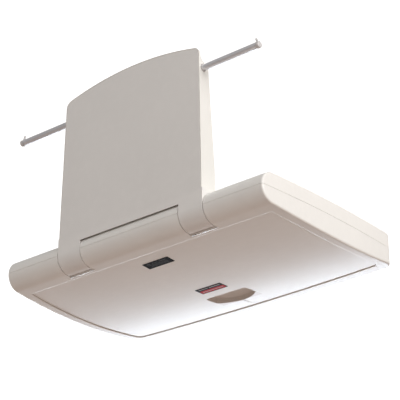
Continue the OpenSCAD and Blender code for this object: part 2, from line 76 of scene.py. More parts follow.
# The back ridge and the knuckles are round about the hinge line. The underside is lowest at
# BELLY_U, and the well's rim is RIM above the line. A plan is an outline seen from above.
NOSE_R = -HINGE_Y
BED_W = 845
BED_D = NOSE_R - shell_low[1]
BELLY = -shell_low[2]
BELLY_U = -250
BELLY_FRONT_R = 1650
RIM = liner_high[2]
BED_PLAN = dict(w=BED_W, back=0, front=BED_D, sag_end=11, sag_front=14, rc=40)
PANEL_PLAN = dict(w=794, back=64, front=487, sag_end=10, sag_front=16, rc=14)
PANEL_INSET = 2
PANEL_GAP = 0.9
PANEL_EDGE = 0.5
PANEL_MARGIN = 0.3
END_ROUND = 5
WELL_HALF, WELL_FRONT, WELL_CORNER = 403, -455, 30
FLOOR, BACK_FLOOR = -27, -18
MOUTH_ROUND, FLOOR_ROUND, RIDGE_ROUND = 2.5, 9, 2
KNUCKLE_IN, KNUCKLE_OUT, KNUCKLE_GAP = 160, 234, 2
NOTCH_R = NOSE_R + 1.3
SHAFT_HOLE = 8
SHELL_T, PANEL_T = 2.6, 2.4
# The lip round the panel's opening: its edge radius, and its sloped face's angle and width.
LIP_R, LIP_SLOPE, LIP_W = 1, math.radians(9), 1.9
LIP_STEP = 0.25
# The soft edge of the line between the two shells, as (inset, lift) from inside to outside.
SEAM = ((2, 0.2), (0.45, 0.25), (0.12, 0.42))
# Points along an outline's end, corner and front.
RUN_COUNTS = (16, 12, 20)

# --- Mesh tools ---


class Skin:
    """Grids of points in mm about the hinge line, welded into one mesh."""

    def __init__(self):
        self.points = []
        self.faces = []

    def grid(self, rows, keep=None):
        rows = [np.asarray(r, float) for r in rows]
        base, width = len(self.points), len(rows[0])
        for row in rows:
            self.points.extend(row)
        for i in range(len(rows) - 1):
            for j in range(width - 1):
                if keep is None or keep(i, j):
                    a = base + i * width + j
                    self.faces.append((a, a + 1, a + width + 1, a + width))
        return self

    def fan(self, row):
        base = len(self.points)
        self.points.extend(np.asarray(row, float))
        self.faces.append(tuple(range(base, base + len(row))))
        return self

    def mirrored(self):
        base = len(self.points)
        self.points.extend([np.array([-p[0], p[1], p[2]]) for p in self.points[:]])
        self.faces.extend([tuple(base + i for i in f[::-1]) for f in self.faces[:]])
        return self

    def build(self, name, inside=None, weld=0.04):
        """A mesh object, with its normals turned away from the point "inside"."""
        mesh = bpy.data.meshes.new(name)
        shift = np.array([0, HINGE_Y, HINGE_Z])
        mesh.from_pydata([tuple((p + shift) * MM) for p in self.points], [], self.faces)
        work = bmesh.new()
        work.from_mesh(mesh)
        bmesh.ops.remove_doubles(work, verts=work.verts, dist=weld * MM)
        bmesh.ops.dissolve_degenerate(work, edges=work.edges, dist=weld * MM / 2)
        bmesh.ops.recalc_face_normals(work, faces=work.faces)
        if inside is not None:
            centre = Vector((np.array(inside, float) + shift) * MM)
            out = sum(
                f.normal.dot(f.calc_center_median() - centre) * f.calc_area()
                for f in work.faces
            )
            if out < 0:
                bmesh.ops.reverse_faces(work, faces=work.faces)
        work.to_mesh(mesh)
        work.free()
        piece = bpy.data.objects.new(name, mesh)
        bpy.context.scene.collection.objects.link(piece)
        return piece


def apply_modifiers(piece):
    graph = bpy.context.evaluated_depsgraph_get()
    graph.update()
    made = bpy.data.meshes.new_from_object(piece.evaluated_get(graph))
    piece.modifiers.clear()
    piece.data = made


def smooth_by_angle(piece, degrees=34):
    mesh = piece.data
    work = bmesh.new()
    work.from_mesh(mesh)
    limit = math.radians(degrees)
    for edge in work.edges:
        edge.smooth = len(edge.link_faces) == 2 and edge.calc_face_angle(0) < limit
    for face in work.faces:
        face.smooth = True
    work.to_mesh(mesh)
    work.free()


def finish_mesh(piece, thick=None, bevel=None, degrees=34):
    """Gives a skin its thickness inwards, rounds its sharp edges and sets its shading."""
    if thick:
        solid = piece.modifiers.new("thickness", "SOLIDIFY")
        solid.thickness = thick * MM
        solid.offset = -1
        solid.use_even_offset = True
        apply_modifiers(piece)
    if bevel:
        edge = piece.modifiers.new("edges", "BEVEL")
        edge.width = bevel * MM
        edge.segments = 3
        edge.limit_method = "ANGLE"
        edge.angle_limit = math.radians(30)
        edge.use_clamp_overlap = True
        apply_modifiers(piece)
    smooth_by_angle(piece, degrees)
    normals = piece.modifiers.new("normals", "WEIGHTED_NORMAL")
    normals.keep_sharp = True
    return piece


def cut_away(piece, cutter, operation="DIFFERENCE"):
    step = piece.modifiers.new("cut", "BOOLEAN")
    step.operation = operation
    step.solver = "EXACT"
    step.object = cutter
    apply_modifiers(piece)
    bpy.data.objects.remove(cutter)


def cuboid(name, low, high):
    """A box with its corners in mm about the hinge line."""
    (x0, u0, v0), (x1, u1, v1) = low, high
    ring = [(x0, u0), (x1, u0), (x1, u1), (x0, u1)]
    skin = Skin()
    skin.points = [np.array([x, u, v], float) for v in (v0, v1) for x, u in ring]
    skin.faces = [(0, 1, 2, 3), (4, 5, 6, 7)]
    skin.faces += [(i, (i + 1) % 4, 4 + (i + 1) % 4, 4 + i) for i in range(4)]
    return skin.build(name, ((x0 + x1) / 2, (u0 + u1) / 2, (v0 + v1) / 2))


def turned(profile, u, v, steps=48):
    """Rows of a profile of (x, radius) turned about a line across the bed at (u, v)."""
    rows = []
    for i in range(steps + 1):
        a = 2 * math.pi * i / steps
        rows.append([(x, u + r * math.cos(a), v + r * math.sin(a)) for x, r in profile])
    return rows


# --- Outlines and sections ---


def bow_r(half, sag):
    """Radius of an arc that is 2 * half wide and sag deep."""
    return (half * half + sag * sag) / (2 * sag)


def meet(c, r, d, s):
    """Where a circle of radius r about c crosses one of radius s about d."""
    c, d = np.array(c, float), np.array(d, float)
    length = np.linalg.norm(d - c)
    e = (d - c) / length
    k = (r * r - s * s + length * length) / (2 * length)
    return c + k * e + math.sqrt(r * r - k * k) * np.array([e[1], -e[0]])


def arc(c, r, a, b, n):
    """n points of a circle about c, from angle a to angle b."""
    return [(c[0] + r * math.cos(t), c[1] + r * math.sin(t)) for t in np.linspace(a, b, n)]


def plan_run(plan, inset, start_u):
    """Half of a bed outline, from its end at start_u round the front corner to x = 0."""
    w, back, front, rc = plan["w"], plan["back"], plan["front"], plan["rc"]
    mid = -(back + front) / 2
    re = bow_r((front - back) / 2, plan["sag_end"])
    rf = bow_r(w / 2, plan["sag_front"])
    ce, cf = (w / 2 - re, mid), (0, rf - front)
    cc = meet(ce, re - rc, cf, rf - rc)
    a_end = math.atan2(cc[1] - ce[1], cc[0] - ce[0])
    a_front = math.atan2(cc[1] - cf[1], cc[0] - cf[0])
    a_start = math.asin((start_u - NOSE_R - mid) / (re - inset))
    at_end, at_corner, at_front = RUN_COUNTS
    run = arc(ce, re - inset, a_start, a_end, at_end)
    run += arc(cc, rc - inset, a_end, a_front, at_corner)[1:]
    run += arc(cf, rf - inset, a_front, -math.pi / 2, at_front)[1:]
    return [(x, y + NOSE_R) for x, y in run]


BACK_ARC_R = (BELLY_U**2 + BELLY**2 - NOSE_R**2) / (2 * (BELLY - NOSE_R))
BACK_ARC_V = BACK_ARC_R - BELLY
TOUCH = math.atan2(BACK_ARC_V, -BELLY_U)
TOUCH_U = NOSE_R * math.cos(TOUCH)


def under(u):
    """Height of the bed's underside."""
    if u > TOUCH_U:
        return -NOSE_R * math.sin(TOUCH)
    if u > BELLY_U:
        return BACK_ARC_V - math.sqrt(BACK_ARC_R**2 - (u - BELLY_U) ** 2)
    centre = BELLY_FRONT_R - BELLY
    return centre - math.sqrt(BELLY_FRONT_R**2 - (u - BELLY_U) ** 2)


def panel_v(u):
    """Height of the outer panel's face, which is set into the underside."""
    return under(u) + PANEL_INSET


def smoothstep(t):
    t = min(max(t, 0), 1)
    return t * t * (3 - 2 * t)


def floor_v(u):
    """Height of the well's floor, which rises towards the back ridge."""
    return FLOOR + (BACK_FLOOR - FLOOR) * smoothstep((u + 130) / 80)


KNUCKLE_X = [KNUCKLE_IN - KNUCKLE_GAP, 178, 197, 216, KNUCKLE_OUT + KNUCKLE_GAP]
BACK_X = [0, 40, 80, 120, *KNUCKLE_X, 265, 295, 325, 352, 375]
NOTCH_FROM = BACK_X.index(KNUCKLE_X[0])
NOTCH_TO = BACK_X.index(KNUCKLE_X[-1])
ROUND_STEPS = 6
THETA = np.linspace(0, math.pi / 2, ROUND_STEPS + 1)


def in_notch(j):
    """Whether column j of a bed row lies in a knuckle's gap."""
    return NOTCH_FROM <= j < NOTCH_TO


def back_row(last_x, u, v):
    return [(x, u, v) for x in BACK_X] + [(last_x, u, v)]


# --- Bed, as two shells that meet along the hinge line's height ---


def nose_row(angle, sign, inset, height, lift):
    """One level of a shell's outer face: back ridge, its rounded end, the bed's end and front.

    height(u, s) is this level's height, and lift moves it off the parting line."""
    r, c, s = NOSE_R - inset, math.cos(angle), math.sin(angle)
    end_u = (r - END_ROUND) * c
    run = plan_run(BED_PLAN, inset, end_u)
    x_end = run[0][0]
    row = back_row(x_end - END_ROUND, r * c, sign * (r * s + lift))
    for t in THETA[1:-1]:
        reach = r - END_ROUND + END_ROUND * math.cos(t)
        x = x_end - END_ROUND + END_ROUND * math.sin(t)
        row.append((x, reach * c, sign * (reach * s + lift)))
    return row + [(x, u, sign * (height(u, s) + lift)) for x, u in run]


def shell_skin(sign, top_angle, full):
    """Outer face of one shell up to its edge fillet, and the fillet's last row.

    full(u) is the shell's height at u, top_angle is where its back ridge ends."""
    fade = math.sin(top_angle)

    def height(u, s):
        return s / fade * (full(u) - fade * END_ROUND)

    skin = Skin()
    angles = [math.radians(a) for a in (1.1, 2.4, 6, *range(12, 77, 8))] + [top_angle]
    rows = [nose_row(0, sign, inset, height, lift) for inset, lift in SEAM]
    rows += [nose_row(a, sign, 0, height, 0) for a in angles]
    skin.grid(rows, lambda i, j: not in_notch(j))
    fillet = []
    for t in THETA:
        drop = END_ROUND * (1 - math.sin(t))
        start_u = (NOSE_R - drop) * math.cos(top_angle)
        run = plan_run(BED_PLAN, END_ROUND * (1 - math.cos(t)), start_u)
        fillet.append([(x, u, sign * (full(u) - fade * drop)) for x, u in run])
    skin.grid(fillet)
    return skin, rows, fillet[-1]


def add_notch_wall(skin, column, x):
    """A knuckle gap's side wall: from the shell's outline down to the shaft hole."""
    inner = [(x, *(np.array(p[1:]) / np.linalg.norm(p[1:]) * SHAFT_HOLE)) for p in column]
    skin.grid([column, inner])


def blend_rows(first, last, steps, height):
    """Rows between two outlines, laid on the surface height(u)."""
    rows = []
    for t in steps:
        row = [np.array(a[:2]) * (1 - t) + np.array(b[:2]) * t for a, b in zip(first, last)]
        rows.append([(x, u, height(u)) for x, u in row])
    return rows


def outline_of(plan, inset, back_u):
    """Half of a closed outline with a straight back edge at back_u."""
    run = plan_run(plan, inset, back_u)
    return [(x, back_u) for x in BACK_X] + run


def make_lower_shell():
    skin, rows, fillet = shell_skin(-1, TOUCH, lambda u: -under(u))
    edge = rows[-1][: len(BACK_X)] + fillet
    panel_back = NOSE_R - PANEL_PLAN["back"]
    slope_end = PANEL_GAP + LIP_R * (1 - math.sin(LIP_SLOPE))
    slope_start = slope_end + LIP_W

    def lip_ring(out, rise):
        ring = outline_of(PANEL_PLAN, -out, panel_back + out)
        return [(x, u, under(u) + rise) for x, u in ring]

    groove = [p[:2] for p in lip_ring(slope_start + LIP_STEP, 0)]
    # notch_u is where the underside comes out of the knuckle gap's circle, found by halving.
    low, high = groove[0][1], TOUCH_U
    for _ in range(40):
        notch_u = (low + high) / 2
        if math.hypot(notch_u, under(notch_u)) > NOTCH_R:
            low = notch_u
        else:
            high = notch_u
    at_notch = (TOUCH_U - notch_u) / (TOUCH_U - groove[0][1])
    steps = [0, at_notch / 2, at_notch, (1 + at_notch) / 2, 1]
    band = blend_rows([p[:2] for p in edge], groove, steps, under)
    skin.grid(band, lambda i, j: not (in_notch(j) and i < 2))
    fall = math.tan(LIP_SLOPE)
    lip = [band[-1], lip_ring(slope_start, 0), lip_ring(slope_start - LIP_STEP, LIP_STEP * fall)]
    for t in np.linspace(LIP_SLOPE, math.pi / 2, ROUND_STEPS):
        rise = LIP_W * fall + LIP_R * (math.cos(LIP_SLOPE) - math.cos(t))
        lip.append(lip_ring(PANEL_GAP + LIP_R * (1 - math.sin(t)), rise))
    lip.insert(3, lip_ring(slope_end + 0.2, (LIP_W - 0.2) * fall))
    lip.append(lip_ring(PANEL_GAP, 5))
    skin.grid(lip)
    start = math.pi + math.atan2(-under(notch_u), -notch_u)
    stop = math.pi + math.asin(-BACK_FLOOR / NOTCH_R)
    turn = arc((0, 0), NOTCH_R, start, stop, 12)
    skin.grid([[(x, u, v) for x in KNUCKLE_X] for u, v in turn])
    for j, x in ((NOTCH_FROM, KNUCKLE_X[0]), (NOTCH_TO, KNUCKLE_X[-1])):
        column = [row[j] for row in rows + band[1:3]] + [(x, u, v) for u, v in turn[1:]]
        add_notch_wall(skin, column, x)
    return skin.mirrored().build("bed_underside", (0, -200, 60))


def well_row(grow, height):
    """One level of the well: back edge on the round ridge, side, corner and front."""
    at_side, at_corner, at_front = RUN_COUNTS
    v_back = height(-35)
    u_back = -math.sqrt(max(NOSE_R**2 - v_back**2, 1))
    half, front, r = WELL_HALF + grow, WELL_FRONT - grow, WELL_CORNER + grow
    run = [(half, u) for u in np.linspace(u_back, front + r, at_side)]
    run += arc((half - r, front + r), r, 0, -math.pi / 2, at_corner)[1:]
    run += [(x, front) for x in np.linspace(half - r, 0, at_front)][1:]
    return [(x, u_back, v_back) for x in BACK_X] + [(x, u, height(u)) for x, u in run]


def make_liner():
    skin, rows, fillet = shell_skin(1, math.asin(RIM / NOSE_R), lambda u: RIM)

    def floor_soft(u):
        """Radius at the foot of the well's wall, which is small near the back ridge."""
        return RIDGE_ROUND + (FLOOR_ROUND - RIDGE_ROUND) * smoothstep((-u - 40) / 60)

    def wall_level(q):
        top = RIM - MOUTH_ROUND
        return lambda u: top + q * (floor_v(u) + floor_soft(u) - top)

    levels = [
        well_row(
            MOUTH_ROUND * (1 - math.sin(t)),
            lambda u, t=t: RIM - MOUTH_ROUND * (1 - math.cos(t)),
        )
        for t in THETA
    ]
    edge = rows[-1][: len(BACK_X)] + fillet
    around, mouth = [p[:2] for p in edge], [p[:2] for p in levels[0]]
    rim = blend_rows(around, mouth, [0, 0.33, 0.67, 1], lambda u: RIM)
    skin.grid(rim, lambda i, j: not in_notch(j))
    levels += [well_row(0, wall_level(q)) for q in np.linspace(0, 1, 10)[1:]]
    for t in THETA[1:]:
        row = well_row(-FLOOR_ROUND * (1 - math.cos(t)), floor_v)
        levels.append([(x, u, floor_v(u) + floor_soft(u) * (1 - math.sin(t))) for x, u, _ in row])
    skin.grid(levels, lambda i, j: not in_notch(j))
    last = [p[:2] for p in levels[-1]]
    inner = [(x * 0.6, -240 + (u + 240) * 0.5) for x, u in last]
    floor = blend_rows(last, inner, [0, *np.linspace(0.04, 1, 16)], floor_v)
    skin.grid(floor)
    skin.fan(floor[-1])
    for j, x in ((NOTCH_FROM, KNUCKLE_X[0]), (NOTCH_TO, KNUCKLE_X[-1])):
        add_notch_wall(skin, [row[j] for row in rows + rim[1:] + levels[1:]], x)
    return skin.mirrored().build("bed_liner_shell", (0, -250, -60))


# --- Outer panel with its finger recess ---

RECESS = dict(w=126, back=-321, side=43, mid=70, top=-33, corner=5, lip=1.2, foot=1.8)


def recess_run(grow):
    """Half of the finger recess's outline: straight back and side, bowed front."""
    at_side, at_corner, at_front = RUN_COUNTS
    half = RECESS["w"] / 2
    r = bow_r(half, RECESS["mid"] - RECESS["side"])
    centre = (0, RECESS["back"] - RECESS["mid"] + r)
    a = math.asin(half / r)
    soft = RECESS["corner"] + grow
    corner = (half + grow - soft, RECESS["back"] + grow - soft)
    side_front = centre[1] - (r + grow) * math.cos(a)
    run = [(x, RECESS["back"] + grow) for x in np.linspace(0, corner[0], len(BACK_X) - 3)]
    run += arc(corner, soft, math.pi / 2, 0, 5)[1:]
    run += [(half + grow, u) for u in np.linspace(corner[1], side_front, at_side)]
    run += arc(centre, r + grow, a - math.pi / 2, -math.pi / 2, at_corner + at_front - 1)[1:]
    return run


def make_panel():
    skin = Skin()
    back_u = NOSE_R - PANEL_PLAN["back"]
    edge = []
    for t in THETA:
        inset = PANEL_MARGIN + PANEL_EDGE * (1 - math.cos(t))
        flat = outline_of(PANEL_PLAN, inset, back_u - inset)
        edge.append([(x, u, panel_v(u) + PANEL_EDGE * (1 - math.sin(t))) for x, u in flat])
    skin.grid([[(x, u, v + 3) for x, u, v in edge[0]]] + edge)
    # The recess has one point more than the panel's outline, so its last point, at x = 0, is left
    # out. That leaves a narrow gap in the panel in front of the recess.
    lip, top, soft = RECESS["lip"], RECESS["top"], RECESS["foot"]
    mouth = recess_run(lip)[: len(flat)]
    skin.grid(blend_rows(flat, mouth, np.linspace(0, 1, 26), panel_v))
    levels = []
    for t in THETA:
        run = recess_run(lip * (1 - math.sin(t)))
        levels.append([(x, u, panel_v(u) + lip * (1 - math.cos(t))) for x, u in run])
    for q in (0.35, 0.7, 1):
        levels.append([
            (x, u, panel_v(u) + lip + q * (top - soft - panel_v(u) - lip))
            for x, u in recess_run(0)
        ])
    for t in THETA[1:]:
        run = recess_run(-soft * (1 - math.cos(t)))
        levels.append([(x, u, top - soft + soft * math.sin(t)) for x, u in run])
    skin.grid(levels)
    skin.fan(levels[-1])
    return skin.mirrored().build("bed_panel", (0, -200, 60))


# --- Housing ---

HOUSE_TOP = cover_high[2]
# Half widths at the hinge line's height and at HOUSE_SPAN above it, and the arch on top.
HOUSE_FOOT, HOUSE_CORNER, HOUSE_SPAN = 233.5, 223, 417
HOUSE_ARCH_R, HOUSE_ROUND = 850, 20
KNEE_V = 38.0
# The cover's depth from the wall at some heights, and at its border.
DEPTHS = ((110, 53.5), (292, 43), (367, 38.5))
BORDER_DEPTH, COVER_ROUND = 8.5, 6


# Steps down the side from the corner, close together where the cover's face bends.
SHOULDER = (0, 2, *np.arange(4, 19.1, 2.5), *range(22, 41, 3), 44, 50, 60, 78, 100, 125)
ARCH_X = (*np.linspace(204, 164, 6), KNUCKLE_IN + 0.4, KNUCKLE_IN - 0.4, *np.linspace(150, 0, 13))
CORNER_STEPS = 8


def house_half(v):
    return HOUSE_FOOT + (HOUSE_CORNER - HOUSE_FOOT) * v / HOUSE_SPAN


def house_run(inset, low):
    """Half of the housing's front view, from its foot up the side and along the arch to x = 0."""
    lean = math.atan2(HOUSE_FOOT - HOUSE_CORNER, HOUSE_SPAN)
    arch_v = HOUSE_TOP - HOUSE_ARCH_R
    cx = house_half(HOUSE_TOP - 45) - HOUSE_ROUND
    cv = arch_v + math.sqrt((HOUSE_ARCH_R - HOUSE_ROUND) ** 2 - cx * cx)
    a1 = math.atan2(cv - arch_v, cx)
    corner = arc((cx, cv), HOUSE_ROUND - inset, lean, a1, CORNER_STEPS + 1)
    x_top, v_top = corner[0]
    heights = [*np.linspace(low, v_top - SHOULDER[-1], 16)[:-1]]
    heights += [v_top - d for d in SHOULDER[::-1]]
    side = [(x_top + house_half(v) - house_half(v_top), v) for v in heights]
    arch_r = HOUSE_ARCH_R - inset
    arch = [(x, arch_v + math.sqrt(arch_r**2 - x * x)) for x in ARCH_X]
    return side + corner[1:] + arch


def cover_depth(x, v):
    """Depth of the cover from the wall at one point of its front view."""
    arch_v = HOUSE_TOP - HOUSE_ARCH_R
    drop = arch_v + math.sqrt(HOUSE_ARCH_R**2 - x * x) - v
    body = np.interp(v, *zip(*DEPTHS))
    return BORDER_DEPTH + (body - BORDER_DEPTH) * smoothstep((drop - 20) / 28)


def foot_v(x, u):
    """Lowest height of the cover: it clears the bed's ridge, and sits close over the knuckles."""
    r = NOSE_R + 0.4 if x > KNUCKLE_IN else NOSE_R + 5
    return math.sqrt(r * r - min(u, 35) ** 2)


def make_cover():
    def lay(x, v, depth):
        """A point at that depth from the wall, pulled down to the foot's curve near it."""
        u = NOSE_R - depth
        return (x, u, v + (foot_v(x, u) - KNEE_V) * max(0, 1 - (v - KNEE_V) / 45))

    def edge_r(x, v):
        return min(COVER_ROUND, cover_depth(x, v) * 0.3)

    side, soft = house_run(0, KNEE_V), house_run(COVER_ROUND, KNEE_V)
    levels = [
        [lay(x, v, 0.15) for x, v in house_run(0.9, KNEE_V)],
        [lay(x, v, 0.35) for x, v in house_run(0.35, KNEE_V)],
        [lay(x, v, 1.0) for x, v in side],
    ]
    for q in (0.2, 0.4, 0.6, 0.8, 1):
        levels.append([lay(x, v, 1 + q * (cover_depth(x, v) - edge_r(x, v) - 1)) for x, v in side])
    for t in THETA[1:]:
        row = []
        for (x, v), (xi, vi) in zip(side, soft):
            r = edge_r(x, v)
            k = r / COVER_ROUND * (1 - math.cos(t))
            px, pv = x + (xi - x) * k, v + (vi - v) * k
            row.append((px, pv, cover_depth(px, pv) - r * (1 - math.sin(t))))
        border = [(x, v) for x, v, _ in row]
        levels.append([lay(*p) for p in row])
    skin = Skin().grid(levels)

    # The face is a grid between the arch, the two sides and the foot.
    split = len(side) - len(ARCH_X) - CORNER_STEPS // 2 - 1
    rise, top = border[: split + 1][::-1], border[split:]
    shares = [(rise[0][1] - v) / (rise[0][1] - rise[-1][1]) for _, v in rise]
    face = []
    for (x_side, v_side), b in zip(rise, shares):
        v_axis = top[-1][1] + (KNEE_V - top[-1][1]) * b
        row = []
        for x_top, v_top in top:
            a = x_top / top[0][0]
            x = (1 - b) * x_top + b * a * rise[-1][0] + a * x_side
            x -= a * ((1 - b) * top[0][0] + b * rise[-1][0])
            v = (1 - b) * v_top + b * KNEE_V + (1 - a) * v_axis + a * v_side
            v -= (1 - b) * ((1 - a) * top[-1][1] + a * top[0][1]) + b * KNEE_V
            row.append((x, v))
        face.append(row)
    skin.grid([[lay(x, v, cover_depth(x, v)) for x, v in row] for row in face])
    columns = [x for x, _ in face[-1]][1:]
    skin.grid([
        [level[0]] + [(x, level[0][1], foot_v(x, level[0][1])) for x in columns]
        for level in levels[::-1]
    ])
    return skin.mirrored().build("housing_cover", (0, 30, 200))


def make_back_plate():
    """The plate on the wall and its two knuckles, joined into one moulding."""
    plate_t, show = 4, HOUSE_TOP - back_high[2]
    run = house_run(show, 22)
    outline = [(round(x, 4), v) for x, v in run + [(-x, v) for x, v in run[-2::-1]]]
    skin = Skin()
    count = len(outline)
    skin.points = [np.array([x, u, v]) for u in (NOSE_R, NOSE_R - plate_t) for x, v in outline]
    skin.faces = [tuple(range(count)), tuple(range(count, 2 * count))]
    skin.faces += [(i, (i + 1) % count, count + (i + 1) % count, count + i) for i in range(count)]
    plate = skin.build("housing_back", (0, NOSE_R - 2, 200))
    for sign in (-1, 1):
        x0, x1 = sorted((sign * KNUCKLE_IN, sign * KNUCKLE_OUT))
        section = [(NOSE_R, 45), *arc((0, 0), NOSE_R, 0, -1.42 * math.pi, 90)]
        section.append((NOSE_R - plate_t, 45))
        n = len(section)
        knuckle = Skin()
        knuckle.points = [np.array([x, u, v]) for x in (x0, x1) for u, v in section]
        knuckle.faces = [tuple(range(n)), tuple(range(n, 2 * n))]
        knuckle.faces += [(i, (i + 1) % n, n + (i + 1) % n, n + i) for i in range(n)]
        cut_away(plate, knuckle.build("knuckle", ((x0 + x1) / 2, 0, 0)), "UNION")
    trim = Skin()
    rows = turned([(-KNUCKLE_IN, 45), (KNUCKLE_IN, 45)], 0, 0, 96)
    trim.grid(rows)
    for end in (0, 1):
        trim.fan([row[end] for row in rows[:-1]])
    cut_away(plate, trim.build("trim", (0, 0, 0)))
    work = bmesh.new()
    work.from_mesh(plate.data)
    bmesh.ops.remove_doubles(work, verts=work.verts, dist=0.02 * MM)
    bmesh.ops.dissolve_limit(
        work, angle_limit=math.radians(0.6), verts=work.verts, edges=work.edges
    )
    work.to_mesh(plate.data)
    work.free()
    return plate


# --- Bag hooks ---

tube_low, tube_high = box_mm("hook_tube")
_, cap_high = box_mm("hook_cap_left")
TUBE_U = (tube_low[1] + tube_high[1]) / 2
TUBE_V = (tube_low[2] + tube_high[2]) / 2
TUBE_R = (tube_high[1] - tube_low[1]) / 2


def make_tube():
    end, wall = tube_high[0], 1.5
    xs = np.linspace(-end + 0.5, end - 0.5, 30)
    profile = [(-end + 6, TUBE_R - wall), (-end, TUBE_R - wall), (-end, TUBE_R - 0.5)]
    profile += [(x, TUBE_R) for x in xs]
    profile += [(end, TUBE_R - 0.5), (end, TUBE_R - wall), (end - 6, TUBE_R - wall)]
    skin = Skin().grid(turned(profile + [profile[0]], TUBE_U, TUBE_V, 64))
    return skin.build("hook_tube_body", (0, TUBE_U, TUBE_V))


def make_cap(sign):
    end = cap_high[0]
    r = TUBE_R + 0.75
    profile = [(end - 9, TUBE_R - 1), (end - 9, r - 0.5), (end - 8.5, r)]
    profile += [(end - 2.5 + 2.5 * math.sin(t), r - 2.5 + 2.5 * math.cos(t)) for t in THETA]
    profile += [(end, r - 5), (end, 0.01)]
    skin = Skin().grid(turned([(sign * x, q) for x, q in profile], TUBE_U, TUBE_V, 48))
    name = "hook_cap_l" if sign > 0 else "hook_cap_r"
    cap = skin.build(name, (sign * (end - 4), TUBE_U, TUBE_V))
    # The nib leans towards the housing. Its profile is (height along it, radius).
    lean, base_x = math.radians(20), end - 4.5
    rows, nib_r = [], 3
    length = (cap_high[2] - TUBE_V) / math.cos(lean) - nib_r
    profile = [(0, nib_r + 1.6), (TUBE_R - 0.5, nib_r + 1.6)]
    profile += [(TUBE_R + 0.6, nib_r + 0.7), (TUBE_R + 2.2, nib_r)]
    profile += [(length + nib_r * math.sin(t), max(nib_r * math.cos(t), 0.01)) for t in THETA]
    for i in range(33):
        a = 2 * math.pi * i / 32
        row = []
        for h, q in profile:
            x, u = q * math.cos(a), q * math.sin(a)
            out = base_x + x * math.cos(lean) - h * math.sin(lean)
            up = TUBE_V + h * math.cos(lean) + x * math.sin(lean)
            row.append((sign * out, TUBE_U + u, up))
        rows.append(row)
    nib = Skin().grid(rows).build("nib", (sign * base_x, TUBE_U, TUBE_V + 8))
    return join(cap, nib)


def join(piece, *others):
    """Joins meshes into the first piece."""
    work = bmesh.new()
    for part in (piece, *others):
        work.from_mesh(part.data)
    work.to_mesh(piece.data)
    work.free()
    for part in others:
        bpy.data.objects.remove(part)
    return piece


def make_grommet(sign):
    x = house_half(TUBE_V)
    inner, outer = TUBE_R + 0.1, TUBE_R + 2.4
    profile = [(x - 6, inner), (x - 6, outer), (x + 0.3, outer)]
    profile += [(x + 1.1, outer - 0.4), (x + 1.5, outer - 1.2)]
    profile += [(x + 1.5, inner + 0.3), (x + 1.2, inner), (x - 6, inner)]
    skin = Skin().grid(turned([(sign * a, b) for a, b in profile], TUBE_U, TUBE_V, 48))
    name = "tube_collar_l" if sign > 0 else "tube_collar_r"
    return skin.build(name, (sign * x, TUBE_U + TUBE_R + 1, TUBE_V))


# --- Safety strap ---

WEB_W, WEB_T = 38, 1.6


def make_web(name, path):
    """A flat strap along a path of (u, v) at the middle of its thickness, with soft edges."""
    path = np.array(path, float)
    fine = []
    for i in range(len(path) - 1):
        steps = max(2, int(np.linalg.norm(path[i + 1] - path[i]) / 2.5))
        fine += [path[i] + (path[i + 1] - path[i]) * k / steps for k in range(steps)]
    fine.append(path[-1])
    fine = np.array(fine)
    for _ in range(6):
        fine[1:-1] = (fine[:-2] + 2 * fine[1:-1] + fine[2:]) / 4
    half, t = WEB_W / 2, WEB_T / 2
    ring = [(-half, -t * 0.4), (-half + 0.5, -t), (-half / 3, -t)]
    ring += [(half / 3, -t), (half - 0.5, -t), (half, -t * 0.4)]
    ring += [(-x, -d) for x, d in ring]
    ring.append(ring[0])
    rows = []
    for i, (u, v) in enumerate(fine):
        a, b = fine[max(i - 1, 0)], fine[min(i + 1, len(fine) - 1)]
        along = (b - a) / np.linalg.norm(b - a)
        rows.append([(x, u - d * along[1], v + d * along[0]) for x, d in ring])
    skin = Skin().grid(rows)
    skin.fan(rows[0][:-1])
    skin.fan(rows[-1][:-1])
    middle = fine[len(fine) // 2]
    return skin.build(name, (0, middle[0], middle[1]))


def make_label(name, node, lift):
    """A thin rounded label that stands lift above the outer panel."""
    low, high = box_mm(node)
    half, u0, u1, r = (high[0] - low[0]) / 2, low[1], high[1], 2.5
    mid_x = (high[0] + low[0]) / 2
    skin = Skin()

    def ring(inset):
        points = []
        for side, cu, a in ((1, u1 - r, 90), (1, u0 + r, 0), (-1, u0 + r, -90), (-1, u1 - r, 180)):
            middle_x = mid_x + side * (half - r)
            points += arc((middle_x, cu), r - inset, math.radians(a), math.radians(a - 90), 7)
        return points + [points[0]]

    inner = ring(lift * 0.5)
    skin.grid([
        [(x, u, panel_v(u) + 0.1) for x, u in ring(0)],
        [(x, u, panel_v(u) - lift * 0.6) for x, u in ring(0)],
        [(x, u, panel_v(u) - lift) for x, u in inner],
    ])
    middle = (u0 + u1) / 2
    small = [(mid_x + (x - mid_x) * 0.5, middle + (u - middle) * 0.5) for x, u in inner]
    rows = blend_rows(inner, small, [0, 0.5, 1], lambda u: panel_v(u) - lift)
    skin.grid(rows)
    skin.fan(rows[-1][:-1])
    return skin.build(name, (0, middle, panel_v(middle) + 5))


# --- Finishes ---


def srgb(r, g, b):
    """Linear colour from 0 to 255 screen values."""
    made = []
    for c in (r, g, b):
        c /= 255
        made.append(c / 12.92 if c <= 0.04045 else ((c + 0.055) / 1.055) ** 2.4)
    return (*made, 1)


